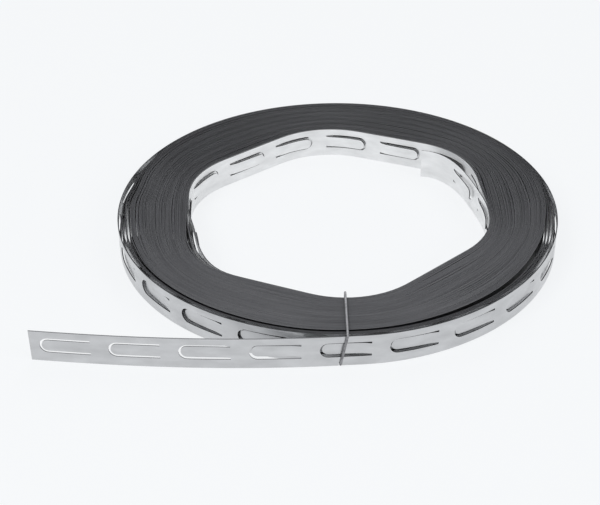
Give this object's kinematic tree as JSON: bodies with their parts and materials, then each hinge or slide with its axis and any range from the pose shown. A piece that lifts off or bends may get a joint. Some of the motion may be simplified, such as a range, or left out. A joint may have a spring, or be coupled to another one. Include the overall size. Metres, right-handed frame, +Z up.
{
  "type": "cable fixing band",
  "caption": "Roll of punched galvanised steel strip whose tongues fold over and hold heating cable, tied with one wire.",
  "frame": {"origin": "on the roll's axis, at the level it rests on", "axes": "+Z up along the roll's axis; -Y is the side where the outer free end leaves the roll, towards -X"},
  "size_m": [0.2006, 0.1788, 0.0139],
  "materials": {
    "galvanised_strip": "matt zinc coating, dull and faintly mottled, dark cut edges",
    "binding_wire": "dull drawn wire"
  },
  "bodies": {
    "root": {"band": "galvanised_strip", "tie_wire": "binding_wire"}
  },
  "joints": []
}
